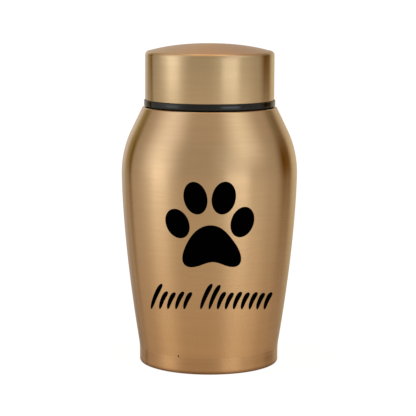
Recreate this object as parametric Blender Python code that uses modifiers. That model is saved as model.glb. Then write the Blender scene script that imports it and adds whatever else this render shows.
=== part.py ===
"""A small cremation urn: a spun metal vessel on a straight foot, a domed metal lid, and the black
plastic ring that lines the lid and shows below its hem.

Metres, +Z up. The origin is on the axis, level with the underside of the foot, and the front
faces -Y. Every piece is turned: its outline, a list of (radius, height) points that starts at the
top and runs down the outside, is swept round Z.
"""

import math

import bpy

# Facets round each turned piece
SEGMENTS = 56

# Vessel
VESSEL_WALL = 0.0008
BEND_INSIDE = 0.0002  # inside radius where the sheet turns a tight corner
BODY_RADIUS = 0.0418
BODY_HEIGHT = 0.1224  # from the underside of the foot to the ledge under the ring
SHOULDER_SLOPE = math.radians(26.0)  # between the shoulder and the vertical
SHOULDER_ROUND = 0.0465
FLANK_POWER = 1.6  # 1 would be a straight taper down to the foot
FOOT_RADIUS = 0.03325
FOOT_HEIGHT = 0.0078
BASE_RING_WIDTH = 0.0050  # the flat ring that the urn stands on
BASE_RECESS = 0.0010
BASE_SLOPE_WIDTH = 0.0012

# Lid
LID_WALL = 0.0008
LID_RADIUS = 0.0306
LID_HEIGHT = 0.0264
LID_DOME = 0.0033
DOME_POWER = 2.4  # 2 would be a plain bow, and more is flatter in the middle
LID_EDGE = 0.0020

# Ring and its sleeve
RING_WALL = 0.0018
RING_HEIGHT = 0.0025
RING_OVERHANG = 0.00055  # past the lid
RING_EDGE = 0.0003
STEP_HEIGHT = 0.0005  # the narrower step that the ring stands on
STEP_DEPTH = 0.00095
SLEEVE_DROP = 0.0030  # from the top of the lid's skirt down to the end of the sleeve
RIM_DROP = 0.0050  # from the end of the sleeve down to the rim of the neck

# Clearances
SEAT_GAP = 0.0003  # between pieces that stand on each other
LINING_GAP = 0.0003  # between lid and sleeve
THREAD_GAP = 0.0003  # between sleeve and neck
LEDGE_MARGIN = 0.00065  # of the ledge, past the ring

# Radii that follow from the wall and the lid
TIGHT_EDGE = VESSEL_WALL + BEND_INSIDE
RING_RADIUS = LID_RADIUS + RING_OVERHANG
LEDGE_RADIUS = RING_RADIUS + LEDGE_MARGIN
SLEEVE_RADIUS = LID_RADIUS - LID_WALL - LINING_GAP
BORE_RADIUS = SLEEVE_RADIUS - RING_WALL
NECK_RADIUS = BORE_RADIUS - THREAD_GAP

# Heights that follow from what stands on what
RING_SEAT = BODY_HEIGHT + SEAT_GAP
LID_SEAT = RING_SEAT + STEP_HEIGHT + RING_HEIGHT + SEAT_GAP
SKIRT_TOP = LID_SEAT + LID_HEIGHT - LID_DOME - LID_EDGE
SLEEVE_TOP = SKIRT_TOP - SLEEVE_DROP
NECK_RIM = SLEEVE_TOP - RIM_DROP

# Chords that a curve is divided into
FLANK_CHORDS = 8
SHOULDER_CHORDS = 5
LID_EDGE_CHORDS = 4
DOME_CHORDS = 5
SMALL_EDGE_CHORDS = 3

SHARP_ANGLE = math.radians(35)  # between faces, past which an edge is shaded sharp
MERGE_DISTANCE = 0.00001
LONGEST_TANGENT = 0.9  # share of a side that a rounded corner may take up


def rounded(before, corner, after, radius, chords):
    """The arc that rounds a corner between two straight sides, smaller where a side is short."""
    sides = []
    for end in (before, after):
        run, rise = end[0] - corner[0], end[1] - corner[1]
        length = math.hypot(run, rise)
        sides.append((run / length, rise / length, length))
    (run_a, rise_a, length_a), (run_b, rise_b, length_b) = sides
    half_angle = 0.5 * math.acos(run_a * run_b + rise_a * rise_b)
    tangent = min(radius / math.tan(half_angle), LONGEST_TANGENT * min(length_a, length_b))
    radius = tangent * math.tan(half_angle)
    middle = (run_a + run_b, rise_a + rise_b)
    reach = radius / math.sin(half_angle) / math.hypot(*middle)
    centre = (corner[0] + middle[0] * reach, corner[1] + middle[1] * reach)
    start = (corner[0] + run_a * tangent - centre[0], corner[1] + rise_a * tangent - centre[1])
    end = (corner[0] + run_b * tangent - centre[0], corner[1] + rise_b * tangent - centre[1])
    turn = math.atan2(start[0] * end[1] - start[1] * end[0], start[0] * end[0] + start[1] * end[1])
    arc = []
    for i in range(chords + 1):
        cosine, sine = math.cos(turn * i / chords), math.sin(turn * i / chords)
        arc.append(
            (
                centre[0] + start[0] * cosine - start[1] * sine,
                centre[1] + start[0] * sine + start[1] * cosine,
            )
        )
    return arc


def vessel_outline():
    """Down the neck, out along the ledge, down the body to the foot, and in under the base."""
    neck_foot = (NECK_RADIUS, BODY_HEIGHT)
    ledge_end = (LEDGE_RADIUS, BODY_HEIGHT)
    drop = (BODY_RADIUS - LEDGE_RADIUS) / math.tan(SHOULDER_SLOPE)
    shoulder_corner = (BODY_RADIUS, BODY_HEIGHT - drop)
    foot_top = (FOOT_RADIUS, FOOT_HEIGHT)
    edge = rounded(neck_foot, ledge_end, shoulder_corner, TIGHT_EDGE, SMALL_EDGE_CHORDS)
    shoulder = rounded(
        ledge_end, shoulder_corner, (BODY_RADIUS, FOOT_HEIGHT), SHOULDER_ROUND, SHOULDER_CHORDS
    )
    widest = shoulder[-1]
    flank = []
    for i in range(1, FLANK_CHORDS):
        share = i / FLANK_CHORDS
        radius = widest[0] - (widest[0] - foot_top[0]) * share**FLANK_POWER
        flank.append((radius, widest[1] - (widest[1] - foot_top[1]) * share))
    foot_corner = (FOOT_RADIUS, 0)
    ring_inside = (FOOT_RADIUS - BASE_RING_WIDTH, 0)
    foot_edge = rounded(foot_top, foot_corner, ring_inside, TIGHT_EDGE, SMALL_EDGE_CHORDS)
    base = [ring_inside, (ring_inside[0] - BASE_SLOPE_WIDTH, BASE_RECESS), (0, BASE_RECESS)]
    neck = [(NECK_RADIUS, NECK_RIM), neck_foot]
    return neck + edge + shoulder + flank + [foot_top] + foot_edge + base


def lid_outline():
    """From the middle of the dome out to the rounded edge and down the skirt to the hem."""
    dome_foot = LID_HEIGHT - LID_DOME
    dome_radius = LID_RADIUS - LID_EDGE
    dome = []
    for i in range(DOME_CHORDS):
        share = i / DOME_CHORDS
        dome.append((dome_radius * share, dome_foot + LID_DOME * (1 - share**DOME_POWER)))
    corner = (LID_RADIUS, dome_foot)
    edge = rounded((0, dome_foot), corner, (LID_RADIUS, 0), LID_EDGE, LID_EDGE_CHORDS)
    return dome + edge + [(LID_RADIUS, 0)]


def ring_outline():
    """Down the sleeve, round the ring that shows, round the step below it, and up the bore."""
    ring_top = STEP_HEIGHT + RING_HEIGHT
    sleeve_end = SLEEVE_TOP - RING_SEAT
    step_radius = RING_RADIUS - STEP_DEPTH
    upper = (RING_RADIUS, ring_top)
    lower = (RING_RADIUS, STEP_HEIGHT)
    upper_edge = rounded((SLEEVE_RADIUS, ring_top), upper, lower, RING_EDGE, SMALL_EDGE_CHORDS)
    lower_edge = rounded(upper, lower, (step_radius, STEP_HEIGHT), RING_EDGE, SMALL_EDGE_CHORDS)
    sleeve = [(SLEEVE_RADIUS, sleeve_end), (SLEEVE_RADIUS, ring_top)]
    step = [(step_radius, STEP_HEIGHT), (step_radius, 0)]
    bore = [(BORE_RADIUS, 0), (BORE_RADIUS, sleeve_end)]
    return sleeve + upper_edge + lower_edge + step + bore


def turned(name, outline, seat, wall, material, collection, parent):
    """An object turned from its outline. With a wall it is a shell, and without one its outline
    closes on itself."""
    ends = range(len(outline) - 1) if wall else range(len(outline))
    mesh = bpy.data.meshes.new(name)
    points = [(radius, 0, height) for radius, height in outline]
    mesh.from_pydata(points, [(i, (i + 1) % len(outline)) for i in ends], [])
    piece = bpy.data.objects.new(name, mesh)
    collection.objects.link(piece)
    piece.parent = parent
    piece.location.z = seat
    sweep = piece.modifiers.new("Turn", "SCREW")
    sweep.steps = SEGMENTS
    sweep.render_steps = SEGMENTS
    sweep.use_merge_vertices = True
    sweep.merge_threshold = MERGE_DISTANCE
    if wall:
        shell = piece.modifiers.new("Wall", "SOLIDIFY")
        shell.thickness = wall
        shell.offset = -1
        shell.use_even_offset = True
    swept = piece.evaluated_get(bpy.context.evaluated_depsgraph_get())
    piece.data = bpy.data.meshes.new_from_object(swept)
    piece.modifiers.clear()
    bpy.data.meshes.remove(mesh)
    piece.data.name = name
    piece.data.shade_smooth()
    piece.data.set_sharp_from_angle(angle=SHARP_ANGLE)
    piece.data.materials.append(material)


def finish(name, colour, metallic, roughness):
    material = bpy.data.materials.new(name)
    material.use_nodes = True
    shader = material.node_tree.nodes["Principled BSDF"]
    shader.inputs["Base Color"].default_value = (*colour, 1)
    shader.inputs["Metallic"].default_value = metallic
    shader.inputs["Roughness"].default_value = roughness
    return material


def main():
    for old in list(bpy.data.objects):
        bpy.data.objects.remove(old)
    urn = bpy.data.collections.new("cremation_urn")
    bpy.context.scene.collection.children.link(urn)
    axis = bpy.data.objects.new("urn_axis", None)
    urn.objects.link(axis)

    vessel_metal = finish("vessel_brushed_bronze", (0.46, 0.29, 0.15), 1.0, 0.32)
    lid_metal = finish("lid_brushed_bronze", (0.46, 0.29, 0.15), 1.0, 0.30)
    ring_plastic = finish("ring_black_plastic", (0.012, 0.012, 0.014), 0.0, 0.22)

    turned("vessel", vessel_outline(), 0, VESSEL_WALL, vessel_metal, urn, axis)
    turned("lid_ring", ring_outline(), RING_SEAT, 0, ring_plastic, urn, axis)
    turned("lid", lid_outline(), LID_SEAT, LID_WALL, lid_metal, urn, axis)


main()
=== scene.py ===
"""The looks of a small cremation urn: brushed bronze metal, a black plastic ring under the lid, and a
black print of a paw and a row of pen strokes on the front.

Metres, +Z up. The axis of the urn is the Z axis, its foot stands on the floor at height 0, and its
front faces -Y.
"""

import math

import bpy
from mathutils import Euler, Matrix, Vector


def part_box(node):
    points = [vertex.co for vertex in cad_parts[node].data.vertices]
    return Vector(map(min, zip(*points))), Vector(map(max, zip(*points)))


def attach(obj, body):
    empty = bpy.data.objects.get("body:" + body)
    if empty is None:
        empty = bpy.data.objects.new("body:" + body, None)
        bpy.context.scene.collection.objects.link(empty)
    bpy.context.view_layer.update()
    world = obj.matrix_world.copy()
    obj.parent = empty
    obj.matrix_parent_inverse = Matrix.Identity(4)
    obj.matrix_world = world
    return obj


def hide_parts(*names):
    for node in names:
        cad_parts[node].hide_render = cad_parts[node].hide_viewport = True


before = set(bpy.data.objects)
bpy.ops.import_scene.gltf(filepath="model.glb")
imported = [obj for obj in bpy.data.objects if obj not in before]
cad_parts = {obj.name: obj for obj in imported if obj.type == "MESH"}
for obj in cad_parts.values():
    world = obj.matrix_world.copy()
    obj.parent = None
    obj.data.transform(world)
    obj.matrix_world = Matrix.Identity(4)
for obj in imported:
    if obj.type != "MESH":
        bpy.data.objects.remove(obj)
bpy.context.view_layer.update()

# What the frame gives
VESSEL_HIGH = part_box("vessel")[1]
RING_LOW, RING_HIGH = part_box("lid_ring")
LID_LOW, LID_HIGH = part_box("lid")
BODY_RADIUS = VESSEL_HIGH.x
NECK_RIM = VESSEL_HIGH.z
RING_SEAT = RING_LOW.z
RING_RADIUS = RING_HIGH.x
SLEEVE_TOP = RING_HIGH.z
LID_SEAT = LID_LOW.z
LID_RADIUS = LID_HIGH.x
LID_TOP = LID_HIGH.z

# Clearances between the pieces
SEAT_GAP = 0.0003
TOUCH_GAP = 0.0001  # what is left of it between the finished pieces
LINING_GAP = 0.0003
THREAD_GAP = 0.0003

# Sheet metal and plastic
METAL_WALL = 0.0008
BEND_INSIDE = 0.0002
TIGHT_EDGE = METAL_WALL + BEND_INSIDE
RING_WALL = 0.0018

# Lid
LID_DOME = 0.0033
DOME_POWER = 2.4
LID_EDGE = 0.0020
LID_CREASE = math.radians(30)  # up the rounded edge from the skirt
LID_DOME_FOOT = LID_TOP - LID_DOME

# Ring and the step below it
RING_EDGE = 0.0003
STEP_HEIGHT = 0.0005
STEP_DEPTH = 0.00095
STEP_TOP = RING_SEAT + STEP_HEIGHT
RING_TOP = LID_SEAT - TOUCH_GAP
SLEEVE_RADIUS = LID_RADIUS - METAL_WALL - LINING_GAP
BORE_RADIUS = SLEEVE_RADIUS - RING_WALL

# Vessel
BODY_HEIGHT = RING_SEAT - TOUCH_GAP
LEDGE_RADIUS = RING_RADIUS + 0.00065
NECK_RADIUS = BORE_RADIUS - THREAD_GAP
SHOULDER_SLOPE = math.radians(26)
SHOULDER_ROUND = 0.0465
FLANK_POWER = 1.6
FOOT_RADIUS = 0.03325
FOOT_HEIGHT = 0.0078
FOOT_ROUND = 0.035  # where the body runs into the foot
BASE_RING_WIDTH = 0.0050
BASE_RECESS = 0.0010
BASE_SLOPE_WIDTH = 0.0012

# Fine creases that the sheet shows where its form changes
LID_CREASE_DEPTH = 0.00014
FOOT_CREASE_DEPTH = 0.00003
CREASE_WIDTH = 0.00040

# How finely the turned pieces are made
TURN_STEPS = 224
FLANK_CHORDS = 36
SHOULDER_CHORDS = 18
LID_EDGE_CHORDS = 12
DOME_CHORDS = 16
SMALL_EDGE_CHORDS = 6
RIM_SEGMENTS = 3
VESSEL_RIM = 0.0002
LID_RIM = 0.0003
START_SIZE = 0.001
MERGE_DISTANCE = 0.000004
SHARP_ANGLE = math.radians(32)
RIM_ANGLE = math.radians(60)
LONGEST_TANGENT = 0.9

# Brushed metal
LID_BRONZE = (0.745, 0.562, 0.358)
VESSEL_BRONZE = (0.80, 0.575, 0.36)
LOW_BRONZE_PAINTED_SHADE = (0.61, 0.348, 0.174)  # the vessel's, darker and more orange towards its foot: painted shade and a painted reflection of warm light from the floor
LOW_SHADE_START, LOW_SHADE_END = -0.020, 0.124
FOOT_EDGE_PAINTED_SHADE = (0.20, 0.09, 0.035)  # painted shade along the very foot, in place of the dark floor contact that its rounded edge mirrors
FOOT_EDGE_SHADE_TOP, FOOT_EDGE_SHADE_FOOT = 0.0022, 0.0002
LINE_SHADE = 0.030  # how much darker the brush lines are
LINE_START, LINE_END = 0.35, 0.65  # where in the noise a darker line begins and is full
LINE_ROUGHNESS = 0.012
LINE_BUMP = 0.05
LINE_DEPTH = 0.00002
METAL_ROUGHNESS = 0.26
BRUSHING = 0.80
BRUSH_TURN = 0.25  # a quarter of a circle, so that reflections are drawn out up and down
FINE_LINES, FINE_ROUND = 1300, 70
BROAD_LINES, BROAD_ROUND = 450, 12
FINE_SHARE = 0.65

# A small dark nick on the foot, in the plane of the paw
NICK = dict(place=(-0.0141, 0.0039), lean=0, width=0.00030, length=0.00060)
NICK_COLOUR = (0.05, 0.03, 0.02)

# Black plastic
PLASTIC = (0.0010, 0.0012, 0.0018)
PLASTIC_WORN = (0.0030, 0.0034, 0.0044)
PLASTIC_ROUGHNESS = 0.10
PLASTIC_SPREAD = 0.04  # how far the roughness varies either way
PLASTIC_GLOSS = 0.55
PLASTIC_SHEEN = (0.88, 0.94, 1.0)
PLASTIC_DEEP = 0.0003  # how far in from the ring's face it is left matt
PLASTIC_LINES, PLASTIC_ROUND = 2500, 150

# Black print on the front. Its places are metres across and up a plane that is tilted back
INK = (0.0005, 0.0004, 0.0005)
INK_ROUGHNESS = 0.55
INK_EDGE = 0.00004
PAW_TILT = math.radians(8.1)
TOES = {
    "outer left": dict(place=(-0.0145, 0.0660), lean=-26.5, width=0.00518, length=0.00710),
    "inner left": dict(place=(-0.0063, 0.0776), lean=-14.5, width=0.00535, length=0.00755),
    "inner right": dict(place=(0.0066, 0.0777), lean=12.5, width=0.00545, length=0.00756),
    "outer right": dict(place=(0.0152, 0.0668), lean=21, width=0.00520, length=0.00722),
}
PAD = {
    "arch": dict(place=(-0.0003, 0.0567), lean=0, width=0.00752, length=0.00680),
    "left lobe": dict(place=(-0.0043, 0.0539), lean=-45, width=0.00955, length=0.00530),
    "right lobe": dict(place=(0.0070, 0.0539), lean=45, width=0.00955, length=0.00530),
}
PAD_BLEND = 0.0134

# Pen strokes below the paw, which are no letters: where each starts across, and its height
ROW_TILT = math.radians(11.2)
ROW_BASE = 0.0242
STROKE_LEAN = 24
STROKE_BOW = 0.0005
STROKES = (
    (-0.0270, 0.0117),
    (-0.0229, 0.0082),
    (-0.0191, 0.0077),
    (-0.0153, 0.0081),
    (-0.0115, 0.0078),
    (-0.0038, 0.0117),
    (0.0001, 0.0112),
    (0.0040, 0.0080),
    (0.0077, 0.0077),
    (0.0114, 0.0081),
    (0.0151, 0.0078),
    (0.0188, 0.0080),
    (0.0224, 0.0077),
    (0.0259, 0.0080),
)
STROKE_WIDTH = 0.0010
STROKE_TAPER = 0.22

# Camera, as fitted to the photograph
CAMERA_PLACE = Vector((0, -0.8162, 0.1899))
CAMERA_TARGET_HEIGHT = 0.07354
CAMERA_ROLL = math.radians(0.225)
CAMERA_LENS = 148.96
CAMERA_SENSOR = 36
CAMERA_SHIFT = (-0.0030, 0.0019)
CAMERA_REACH = 100

# Floor
FLOOR_SIZE = 60
FLOOR_COLOUR = (0.20, 0.20, 0.21)
FLOOR_GLOW = 0.93

# Light round the urn. An azimuth of 0 is towards the front and 90 is to the right. A box whose light is
# below 0 is a dark flag, which takes light away
BACKDROP = (1.0, 1.0, 1.0)
AMBIENT = (0.43, 0.38, 0.31)
FROM_BELOW = (0.30, 0.26, 0.17)
BELOW_START, BELOW_END = 5, -50
OVERHEAD = (0.60, 0.36, 0.13)
OVERHEAD_START, OVERHEAD_END = 60, 80
BOX_FADE = 25
PANE_FADE = 3  # for the two bright panes that the plastic mirrors
SOFT_BOXES = {
    "left strip": dict(azimuth=-73, half=1, soft=41, bottom=4, top=64, light=(0.55, 0.57, 0.59)),
    "left strip low": dict(azimuth=-70, half=1, soft=30, bottom=-90, top=9, light=(0.17, 0.18, 0.15)),
    "right window": dict(azimuth=32, half=6, soft=30, bottom=-9, top=22, light=(0.15, 0.18, 0.18)),
    "right high": dict(azimuth=57, half=1, soft=40, bottom=26, top=71, light=(0.51, 0.54, 0.51)),
    "right low": dict(azimuth=55, half=10, soft=30, bottom=-90, top=-20, light=(0.21, 0.22, 0.20)),
    "left edge": dict(azimuth=-151, half=12, soft=20, bottom=5, top=59, light=(0.13, 0.13, 0.10)),
    "left rim": dict(azimuth=-156, half=8, soft=8, bottom=2, top=8, light=(0.11, 0.11, 0.15)),
    "right edge": dict(azimuth=152, half=12, soft=7, bottom=-4, top=-2, light=(0.20, 0.17, 0.07)),
    "left flag": dict(azimuth=-137, half=1, soft=15, bottom=6, top=60, light=(-0.30, -0.30, -0.35)),
    "left line": dict(azimuth=-127, half=1, soft=5, bottom=-6, top=6, light=(-0.31, -0.34, -0.30)),
    "right flag": dict(azimuth=121, half=2, soft=24, bottom=0, top=4, light=(-0.40, -0.43, -0.41)),
    "right high flag": dict(azimuth=128, half=2, soft=17, bottom=29, top=60, light=(-0.23, -0.20, -0.20)),
    "low flag": dict(azimuth=180, half=32, soft=14, bottom=-90, top=-27, light=(-0.33, -0.30, -0.23)),
    "right streak": dict(azimuth=123, half=1, soft=6, bottom=-5, top=10, light=(0.10, 0.10, 0.09)),
    "back": dict(azimuth=180, half=2, soft=16, bottom=-3, top=20, light=(0.09, 0.03, 0.02)),
    "back high": dict(azimuth=180, half=50, soft=40, bottom=50, top=90, light=(0.24, 0.06, 0.02)),
    "left low flag": dict(azimuth=-166, half=8, soft=10, bottom=-90, top=-40, light=(-0.22, -0.21, -0.19)),
    "left pane": dict(
        azimuth=-68, half=6, soft=12, bottom=-6, top=-3, light=(0.68, 0.68, 0.68), fade=PANE_FADE
    ),
    "right pane": dict(
        azimuth=37, half=9, soft=13, bottom=-6, top=-3, light=(1.40, 1.40, 1.40), fade=PANE_FADE
    ),
}


def rounded(before, corner, after, radius, chords):
    """The arc that rounds a corner between two straight sides, smaller where a side is short."""
    corner = Vector(corner)
    side_a, side_b = Vector(before) - corner, Vector(after) - corner
    half_angle = side_a.angle(side_b) / 2
    shortest = min(side_a.length, side_b.length)
    tangent = min(radius / math.tan(half_angle), LONGEST_TANGENT * shortest)
    radius = tangent * math.tan(half_angle)
    middle = (side_a.normalized() + side_b.normalized()).normalized()
    centre = corner + middle * radius / math.sin(half_angle)
    start = corner + side_a.normalized() * tangent - centre
    end = corner + side_b.normalized() * tangent - centre
    turn_angle = math.atan2(start.x * end.y - start.y * end.x, start.dot(end))
    arc = []
    for i in range(chords + 1):
        cosine, sine = math.cos(turn_angle * i / chords), math.sin(turn_angle * i / chords)
        x = centre.x + start.x * cosine - start.y * sine
        y = centre.y + start.x * sine + start.y * cosine
        arc.append((x, y))
    return arc


def crease(outline, at, depth):
    """The outline with a fine groove pressed into it at point number at, square to its course."""
    before, point, after = (Vector(outline[i]) for i in (at - 1, at, at + 1))
    course = (after - before).normalized()
    inward = Vector((course.y, -course.x))
    lip = course * CREASE_WIDTH / 2
    groove = [point - lip, point + inward * depth, point + lip]
    return outline[:at] + [tuple(place) for place in groove] + outline[at + 1 :]


def vessel_outline():
    """Down the neck, out along the ledge, down the body to the foot, and in under the base."""
    neck_foot = (NECK_RADIUS, BODY_HEIGHT)
    ledge_end = (LEDGE_RADIUS, BODY_HEIGHT)
    drop = (BODY_RADIUS - LEDGE_RADIUS) / math.tan(SHOULDER_SLOPE)
    shoulder_corner = (BODY_RADIUS, RING_SEAT - SEAT_GAP - drop)
    foot_top = (FOOT_RADIUS, FOOT_HEIGHT)
    edge = rounded(neck_foot, ledge_end, shoulder_corner, TIGHT_EDGE, SMALL_EDGE_CHORDS)
    below = (BODY_RADIUS, FOOT_HEIGHT)
    shoulder = rounded(ledge_end, shoulder_corner, below, SHOULDER_ROUND, SHOULDER_CHORDS)
    widest = shoulder[-1]
    flank = []
    for i in range(1, FLANK_CHORDS - 1):
        share = i / FLANK_CHORDS
        radius = widest[0] - (widest[0] - foot_top[0]) * share**FLANK_POWER
        flank.append((radius, widest[1] - (widest[1] - foot_top[1]) * share))
    foot_turn = rounded(flank[-1], foot_top, (FOOT_RADIUS, 0), FOOT_ROUND, SMALL_EDGE_CHORDS)
    ring_inside = (FOOT_RADIUS - BASE_RING_WIDTH, 0)
    foot_edge = rounded(foot_top, (FOOT_RADIUS, 0), ring_inside, TIGHT_EDGE, SMALL_EDGE_CHORDS)
    base = [ring_inside, (ring_inside[0] - BASE_SLOPE_WIDTH, BASE_RECESS), (0, BASE_RECESS)]
    neck = [(NECK_RADIUS, NECK_RIM), neck_foot]
    above = neck + edge + shoulder + flank
    whole = above + foot_turn + foot_edge + base
    return crease(whole, len(above) + SMALL_EDGE_CHORDS // 2, FOOT_CREASE_DEPTH)


def lid_outline():
    """From the middle of the dome out to the rounded edge and down the skirt to the hem."""
    dome_radius = LID_RADIUS - LID_EDGE
    dome = []
    for i in range(DOME_CHORDS):
        share = i / DOME_CHORDS
        dome.append((dome_radius * share, LID_DOME_FOOT + LID_DOME * (1 - share**DOME_POWER)))
    corner = (LID_RADIUS, LID_DOME_FOOT)
    hem = (LID_RADIUS, LID_SEAT)
    edge = rounded((0, LID_DOME_FOOT), corner, hem, LID_EDGE, LID_EDGE_CHORDS)
    crease_point = round(LID_EDGE_CHORDS * (1 - LID_CREASE / (math.pi / 2)))
    return crease(dome + edge + [hem], len(dome) + crease_point, LID_CREASE_DEPTH)


def ring_outline():
    """Down the sleeve, round the ring that shows, round the step below it, and up the bore."""
    step_radius = RING_RADIUS - STEP_DEPTH
    upper, lower = (RING_RADIUS, RING_TOP), (RING_RADIUS, STEP_TOP)
    upper_edge = rounded((SLEEVE_RADIUS, RING_TOP), upper, lower, RING_EDGE, SMALL_EDGE_CHORDS)
    lower_edge = rounded(upper, lower, (step_radius, STEP_TOP), RING_EDGE, SMALL_EDGE_CHORDS)
    sleeve = [(SLEEVE_RADIUS, SLEEVE_TOP), (SLEEVE_RADIUS, RING_TOP)]
    step = [(step_radius, STEP_TOP), (step_radius, RING_SEAT)]
    bore = [(BORE_RADIUS, RING_SEAT), (BORE_RADIUS, SLEEVE_TOP)]
    return sleeve + upper_edge + lower_edge + step + bore


def turned(name, outline, closed):
    """A piece turned as on a lathe: a point is drawn out along the outline, and the line is spun
    round the axis."""
    bpy.ops.object.select_all(action="DESELECT")
    bpy.ops.mesh.primitive_plane_add(size=START_SIZE, location=(0, 0, 0))
    piece = bpy.context.object
    piece.name = name
    piece.data.name = name
    bpy.ops.object.mode_set(mode="EDIT")
    bpy.ops.mesh.select_all(action="SELECT")
    bpy.ops.mesh.merge(type="CENTER")
    bpy.ops.transform.translate(value=(outline[0][0], 0, outline[0][1]))
    path = outline + outline[:1] if closed else outline
    for here, there in zip(path, path[1:]):
        step = (there[0] - here[0], 0, there[1] - here[1])
        bpy.ops.mesh.extrude_vertices_move(TRANSFORM_OT_translate={"value": step})
    bpy.ops.mesh.select_all(action="SELECT")
    bpy.ops.mesh.remove_doubles(threshold=MERGE_DISTANCE)
    bpy.ops.mesh.select_all(action="SELECT")
    bpy.ops.mesh.spin(
        steps=TURN_STEPS, angle=2 * math.pi, center=(0, 0, 0), axis=(0, 0, 1), use_auto_merge=True
    )
    bpy.ops.mesh.select_all(action="SELECT")
    bpy.ops.mesh.remove_doubles(threshold=MERGE_DISTANCE)
    bpy.ops.mesh.normals_make_consistent(inside=False)
    bpy.ops.object.mode_set(mode="OBJECT")
    return piece


def give_wall(piece, thickness):
    """Thickens a turned sheet inwards."""
    shell = piece.modifiers.new("Wall", "SOLIDIFY")
    shell.thickness = thickness
    shell.offset = -1
    shell.use_even_offset = True
    bpy.ops.object.modifier_apply(modifier=shell.name)


def soften_rim(piece, width):
    """Rounds the cut edges of a sheet."""
    rim = piece.modifiers.new("Rim", "BEVEL")
    rim.limit_method = "ANGLE"
    rim.angle_limit = RIM_ANGLE
    rim.width = width
    rim.segments = RIM_SEGMENTS
    bpy.ops.object.modifier_apply(modifier=rim.name)


def dress(piece, node, material):
    """Shades the piece smooth, puts it in place of its CAD node and gives it its finish."""
    bpy.ops.object.shade_smooth_by_angle(angle=SHARP_ANGLE)
    piece.data.materials.clear()
    piece.data.materials.append(material)
    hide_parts(node)
    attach(piece, "root")


def add(tree, kind, inputs=None, **settings):
    """A node with its settings, and with its inputs set or wired."""
    made = tree.nodes.new(kind)
    for name, value in settings.items():
        setattr(made, name, value)
    for socket, value in (inputs or {}).items():
        if isinstance(value, bpy.types.NodeSocket):
            tree.links.new(value, made.inputs[socket])
        else:
            made.inputs[socket].default_value = value
    return made


def calc(tree, operation, *values):
    """The result of one Math node."""
    inputs = dict(enumerate(values))
    return add(tree, "ShaderNodeMath", inputs, operation=operation).outputs[0]


def scaled(tree, light, share):
    """A colour made stronger or weaker by a share."""
    inputs = {0: light, "Scale": share}
    return add(tree, "ShaderNodeVectorMath", inputs, operation="SCALE").outputs[0]


def from_axis(tree, axes):
    """How far a place is from the axis of the urn."""
    flat = add(tree, "ShaderNodeCombineXYZ", {0: axes["X"], 1: axes["Y"]}).outputs[0]
    return add(tree, "ShaderNodeVectorMath", {0: flat}, operation="LENGTH").outputs["Value"]


def smooth_step(tree, value, start, end):
    """0 before start, 1 after end, smooth between them."""
    inputs = {"Value": value, "From Min": start, "From Max": end}
    made = add(tree, "ShaderNodeMapRange", inputs, interpolation_type="SMOOTHSTEP")
    return made.outputs["Result"]


def blend(tree, share, first, second, colours=True):
    """A number or a colour between two others."""
    plain = not colours or isinstance(second, (int, float))
    made = add(tree, "ShaderNodeMix", {0: share}, data_type="FLOAT" if plain else "RGBA")
    # A Mix node keeps its sockets for numbers at 2 and 3, and those for colours at 6 and 7
    place = 2 if plain else 6
    for socket, value in zip(made.inputs[place : place + 2], (first, second)):
        if isinstance(value, bpy.types.NodeSocket):
            tree.links.new(value, socket)
        else:
            socket.default_value = value if plain else (*value, 1)
    return made.outputs[0 if plain else 2]


def streaks(tree, place, lines, round_lines):
    """Noise drawn out round the axis, with this many cells to the metre across and along."""
    axes = add(tree, "ShaderNodeSeparateXYZ", {0: place}).outputs
    radius = from_axis(tree, axes)
    across = calc(tree, "MULTIPLY", calc(tree, "SUBTRACT", axes["Z"], radius), lines)
    side_x = calc(tree, "MULTIPLY", axes["X"], round_lines)
    side_y = calc(tree, "MULTIPLY", axes["Y"], round_lines)
    spot = add(tree, "ShaderNodeCombineXYZ", {0: side_x, 1: side_y, 2: across}).outputs[0]
    noise = add(tree, "ShaderNodeTexNoise", {"Vector": spot, "Scale": 1.0, "Detail": 0.0})
    return noise.outputs["Fac"]


def print_plane(tree, place, tilt):
    """Places across and up a plane that is tilted back, with nothing left of their depth."""
    turned_back = add(tree, "ShaderNodeMapping", {"Vector": place, "Rotation": (tilt, 0, 0)})
    axes = add(tree, "ShaderNodeSeparateXYZ", {0: turned_back.outputs[0]}).outputs
    return add(tree, "ShaderNodeCombineXYZ", {0: axes["X"], 2: axes["Z"]}).outputs[0]


def centred(tree, plane, place, lean, width, length):
    """The plane seen from a shape's own middle, with the shape's half width and length as units."""
    inputs = {
        "Vector": plane,
        "Location": (place[0], 0, place[1]),
        "Rotation": (0, math.radians(lean), 0),
        "Scale": (width, 1, length),
    }
    return add(tree, "ShaderNodeMapping", inputs, vector_type="TEXTURE").outputs[0]


def oval(tree, plane, place, lean, width, length):
    """How far inside an oval a place is."""
    own = centred(tree, plane, place, lean, width, length)
    out = add(tree, "ShaderNodeVectorMath", {0: own}, operation="LENGTH").outputs["Value"]
    return calc(tree, "MULTIPLY", calc(tree, "SUBTRACT", 1, out), width)


def pen_stroke(tree, plane, foot, height):
    """How far inside a leaning, bowed stroke with blunt ends a place is."""
    slope = math.radians(STROKE_LEAN)
    middle = (foot + height / 2 * math.tan(slope), ROW_BASE + height / 2)
    own = centred(tree, plane, middle, STROKE_LEAN, 1, height / 2 / math.cos(slope))
    axes = add(tree, "ShaderNodeSeparateXYZ", {0: own}).outputs
    along = axes["Z"]
    square = calc(tree, "MULTIPLY", along, along)
    aside = calc(tree, "MULTIPLY_ADD", calc(tree, "SUBTRACT", 1, square), STROKE_BOW, axes["X"])
    blunt = calc(tree, "SUBTRACT", 1, calc(tree, "MULTIPLY", square, square))
    taper = calc(tree, "MULTIPLY_ADD", along, STROKE_TAPER * STROKE_WIDTH, STROKE_WIDTH)
    reach = calc(tree, "MULTIPLY", taper, calc(tree, "SQRT", calc(tree, "MAXIMUM", blunt, 0)))
    return calc(tree, "SUBTRACT", reach, calc(tree, "ABSOLUTE", aside))


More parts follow.
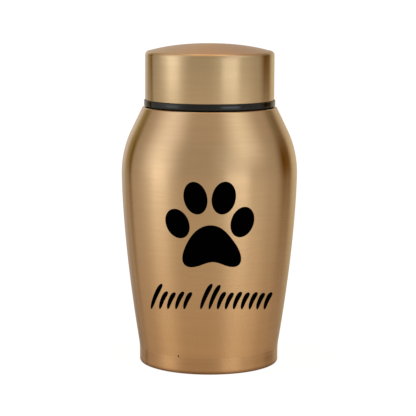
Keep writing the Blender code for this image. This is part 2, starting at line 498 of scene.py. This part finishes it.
def front_print(tree, place):
    """1 where the front of the vessel is printed black."""
    paw_plane = print_plane(tree, place, PAW_TILT)
    row_plane = print_plane(tree, place, ROW_TILT)
    pad = [oval(tree, paw_plane, **shape) for shape in PAD.values()]
    inside = pad[0]
    for lobe in pad[1:]:
        inside = calc(tree, "SMOOTH_MAX", inside, lobe, PAD_BLEND)
    for toe in TOES.values():
        inside = calc(tree, "MAXIMUM", inside, oval(tree, paw_plane, **toe))
    for stroke in STROKES:
        inside = calc(tree, "MAXIMUM", inside, pen_stroke(tree, row_plane, *stroke))
    printed = smooth_step(tree, inside, -INK_EDGE, INK_EDGE)
    depth = add(tree, "ShaderNodeSeparateXYZ", {0: place}).outputs["Y"]
    return calc(tree, "MULTIPLY", printed, calc(tree, "LESS_THAN", depth, 0))


def brushed_bronze(name, painted_shade_colour, high_colour, with_print):
    """Metal brushed round the axis, so that its reflections are drawn out up and down."""
    material = bpy.data.materials.new(name)
    material.use_nodes = True
    tree = material.node_tree
    shader = tree.nodes["Principled BSDF"]
    place = add(tree, "ShaderNodeTexCoord").outputs["Object"]
    height = add(tree, "ShaderNodeSeparateXYZ", {0: place}).outputs["Z"]
    # Painted shade: darker and more orange towards the foot, in place of the warm floor light that the
    # lower body mirrors
    up = smooth_step(tree, height, LOW_SHADE_START, LOW_SHADE_END)
    fine = streaks(tree, place, FINE_LINES, FINE_ROUND)
    broad = streaks(tree, place, BROAD_LINES, BROAD_ROUND)
    lines = blend(tree, FINE_SHARE, broad, fine, colours=False)
    dull = smooth_step(tree, lines, LINE_START, LINE_END)
    shade = calc(tree, "MULTIPLY_ADD", dull, -LINE_SHADE, 1)
    colour = scaled(tree, blend(tree, up, painted_shade_colour, high_colour), shade)
    low, high = METAL_ROUGHNESS - LINE_ROUGHNESS, METAL_ROUGHNESS + LINE_ROUGHNESS
    roughness = blend(tree, lines, low, high)
    # Painted shade: the very foot is darkened, in place of the dark floor contact that its rounded edge
    # mirrors
    foot_edge_shade = smooth_step(tree, height, FOOT_EDGE_SHADE_TOP, FOOT_EDGE_SHADE_FOOT)
    colour = blend(tree, foot_edge_shade, colour, FOOT_EDGE_PAINTED_SHADE)
    shader.inputs["Metallic"].default_value = 1
    if with_print:
        nick = oval(tree, print_plane(tree, place, PAW_TILT), **NICK)
        colour = blend(tree, smooth_step(tree, nick, 0, INK_EDGE), colour, NICK_COLOUR)
        ink = front_print(tree, place)
        colour = blend(tree, ink, colour, INK)
        roughness = blend(tree, ink, roughness, INK_ROUGHNESS)
        tree.links.new(calc(tree, "SUBTRACT", 1, ink), shader.inputs["Metallic"])
        shader.inputs["Specular IOR Level"].default_value = 0
    tree.links.new(colour, shader.inputs["Base Color"])
    tree.links.new(roughness, shader.inputs["Roughness"])
    shader.inputs["Anisotropic"].default_value = BRUSHING
    shader.inputs["Anisotropic Rotation"].default_value = BRUSH_TURN
    tangent = add(tree, "ShaderNodeTangent", direction_type="RADIAL", axis="Z")
    tree.links.new(tangent.outputs[0], shader.inputs["Tangent"])
    relief = {"Height": lines, "Strength": LINE_BUMP, "Distance": LINE_DEPTH}
    bump = add(tree, "ShaderNodeBump", relief)
    tree.links.new(bump.outputs[0], shader.inputs["Normal"])
    return material


def black_plastic(name):
    """Glossy plastic with the faint lines that turning leaves round it."""
    material = bpy.data.materials.new(name)
    material.use_nodes = True
    tree = material.node_tree
    shader = tree.nodes["Principled BSDF"]
    place = add(tree, "ShaderNodeTexCoord").outputs["Object"]
    lines = streaks(tree, place, PLASTIC_LINES, PLASTIC_ROUND)
    tree.links.new(blend(tree, lines, PLASTIC, PLASTIC_WORN), shader.inputs["Base Color"])
    low, high = PLASTIC_ROUGHNESS - PLASTIC_SPREAD, PLASTIC_ROUGHNESS + PLASTIC_SPREAD
    glossy = blend(tree, lines, low, high)
    axes = add(tree, "ShaderNodeSeparateXYZ", {0: place}).outputs
    radius = from_axis(tree, axes)
    face = calc(tree, "GREATER_THAN", radius, RING_RADIUS - PLASTIC_DEEP)
    tree.links.new(blend(tree, face, 1.0, glossy, colours=False), shader.inputs["Roughness"])
    shader.inputs["Specular IOR Level"].default_value = PLASTIC_GLOSS
    shader.inputs["Specular Tint"].default_value = (*PLASTIC_SHEEN, 1)
    return material


def pale_floor():
    """A wide, evenly glowing floor that doesn't show in the reflections."""
    bpy.ops.object.select_all(action="DESELECT")
    bpy.ops.mesh.primitive_plane_add(size=FLOOR_SIZE, location=(0, 0, 0))
    floor = bpy.context.object
    floor.name = "floor"
    floor.visible_glossy = False
    material = bpy.data.materials.new("pale_table")
    material.use_nodes = True
    shader = material.node_tree.nodes["Principled BSDF"]
    shader.inputs["Base Color"].default_value = (*FLOOR_COLOUR, 1)
    shader.inputs["Roughness"].default_value = 1
    shader.inputs["Specular IOR Level"].default_value = 0
    shader.inputs["Emission Color"].default_value = (1, 1, 1, 1)
    shader.inputs["Emission Strength"].default_value = FLOOR_GLOW
    floor.data.materials.append(material)


def camera():
    """The camera, which looks slightly down at the urn."""
    lens = bpy.data.cameras.new("camera")
    lens.lens = CAMERA_LENS
    lens.sensor_width = CAMERA_SENSOR
    lens.shift_x, lens.shift_y = CAMERA_SHIFT
    lens.clip_end = CAMERA_REACH
    holder = bpy.data.objects.new("camera", lens)
    bpy.context.scene.collection.objects.link(holder)
    fall = CAMERA_PLACE.z - CAMERA_TARGET_HEIGHT
    pitch = math.pi / 2 - math.atan2(fall, -CAMERA_PLACE.y)
    aim = Euler((pitch, 0, 0)).to_matrix() @ Euler((0, 0, CAMERA_ROLL)).to_matrix()
    holder.location = CAMERA_PLACE
    holder.rotation_euler = aim.to_euler()
    bpy.context.scene.camera = holder


def soft_box(tree, azimuth, elevation, box):
    """The light of one soft box, which fades out past its sides, its bottom and its top."""
    apart = calc(tree, "ABSOLUTE", calc(tree, "SUBTRACT", azimuth, box["azimuth"]))
    apart = calc(tree, "PINGPONG", apart, 180)
    sideways = smooth_step(tree, apart, box["half"] + box["soft"], box["half"])
    fade = box.get("fade", BOX_FADE)
    above = smooth_step(tree, elevation, box["bottom"] - fade, box["bottom"])
    below = smooth_step(tree, elevation, box["top"] + fade, box["top"])
    share = calc(tree, "MULTIPLY", sideways, calc(tree, "MULTIPLY", above, below))
    return scaled(tree, box["light"], share)


def studio_light():
    """A world of soft light with a few soft boxes and dark flags, and a pale backdrop."""
    world = bpy.data.worlds.new("studio")
    bpy.context.scene.world = world
    world.use_nodes = True
    tree = world.node_tree
    tree.nodes.clear()
    direction = add(tree, "ShaderNodeTexCoord").outputs["Generated"]
    axes = add(tree, "ShaderNodeSeparateXYZ", {0: direction}).outputs
    toward_front = calc(tree, "MULTIPLY", axes["Y"], -1)
    azimuth = calc(tree, "DEGREES", calc(tree, "ARCTAN2", axes["X"], toward_front))
    elevation = calc(tree, "DEGREES", calc(tree, "ARCSINE", axes["Z"]))
    lights = [soft_box(tree, azimuth, elevation, box) for box in SOFT_BOXES.values()]
    lights.append(scaled(tree, FROM_BELOW, smooth_step(tree, elevation, BELOW_START, BELOW_END)))
    lights.append(scaled(tree, OVERHEAD, smooth_step(tree, elevation, OVERHEAD_START, OVERHEAD_END)))
    total = add(tree, "ShaderNodeCombineXYZ", dict(enumerate(AMBIENT))).outputs[0]
    for light in lights:
        total = add(tree, "ShaderNodeVectorMath", {0: total, 1: light}, operation="ADD").outputs[0]
    seen = add(tree, "ShaderNodeLightPath").outputs["Is Camera Ray"]
    colour = blend(tree, seen, total, BACKDROP)
    background = add(tree, "ShaderNodeBackground", {"Color": colour})
    output = add(tree, "ShaderNodeOutputWorld")
    tree.links.new(background.outputs[0], output.inputs["Surface"])


def main():
    """Makes the three pieces, then the floor, the light and the camera."""
    bpy.context.scene.view_settings.view_transform = "Standard"
    vessel = turned("urn_vessel", vessel_outline(), closed=False)
    give_wall(vessel, METAL_WALL)
    soften_rim(vessel, VESSEL_RIM)
    metal = brushed_bronze("vessel_metal", LOW_BRONZE_PAINTED_SHADE, VESSEL_BRONZE, with_print=True)
    dress(vessel, "vessel", metal)
    ring = turned("urn_lid_ring", ring_outline(), closed=True)
    dress(ring, "lid_ring", black_plastic("ring_plastic"))
    lid = turned("urn_lid", lid_outline(), closed=False)
    give_wall(lid, METAL_WALL)
    soften_rim(lid, LID_RIM)
    metal = brushed_bronze("lid_metal", LID_BRONZE, LID_BRONZE, with_print=False)
    dress(lid, "lid", metal)
    pale_floor()
    studio_light()
    camera()


main()
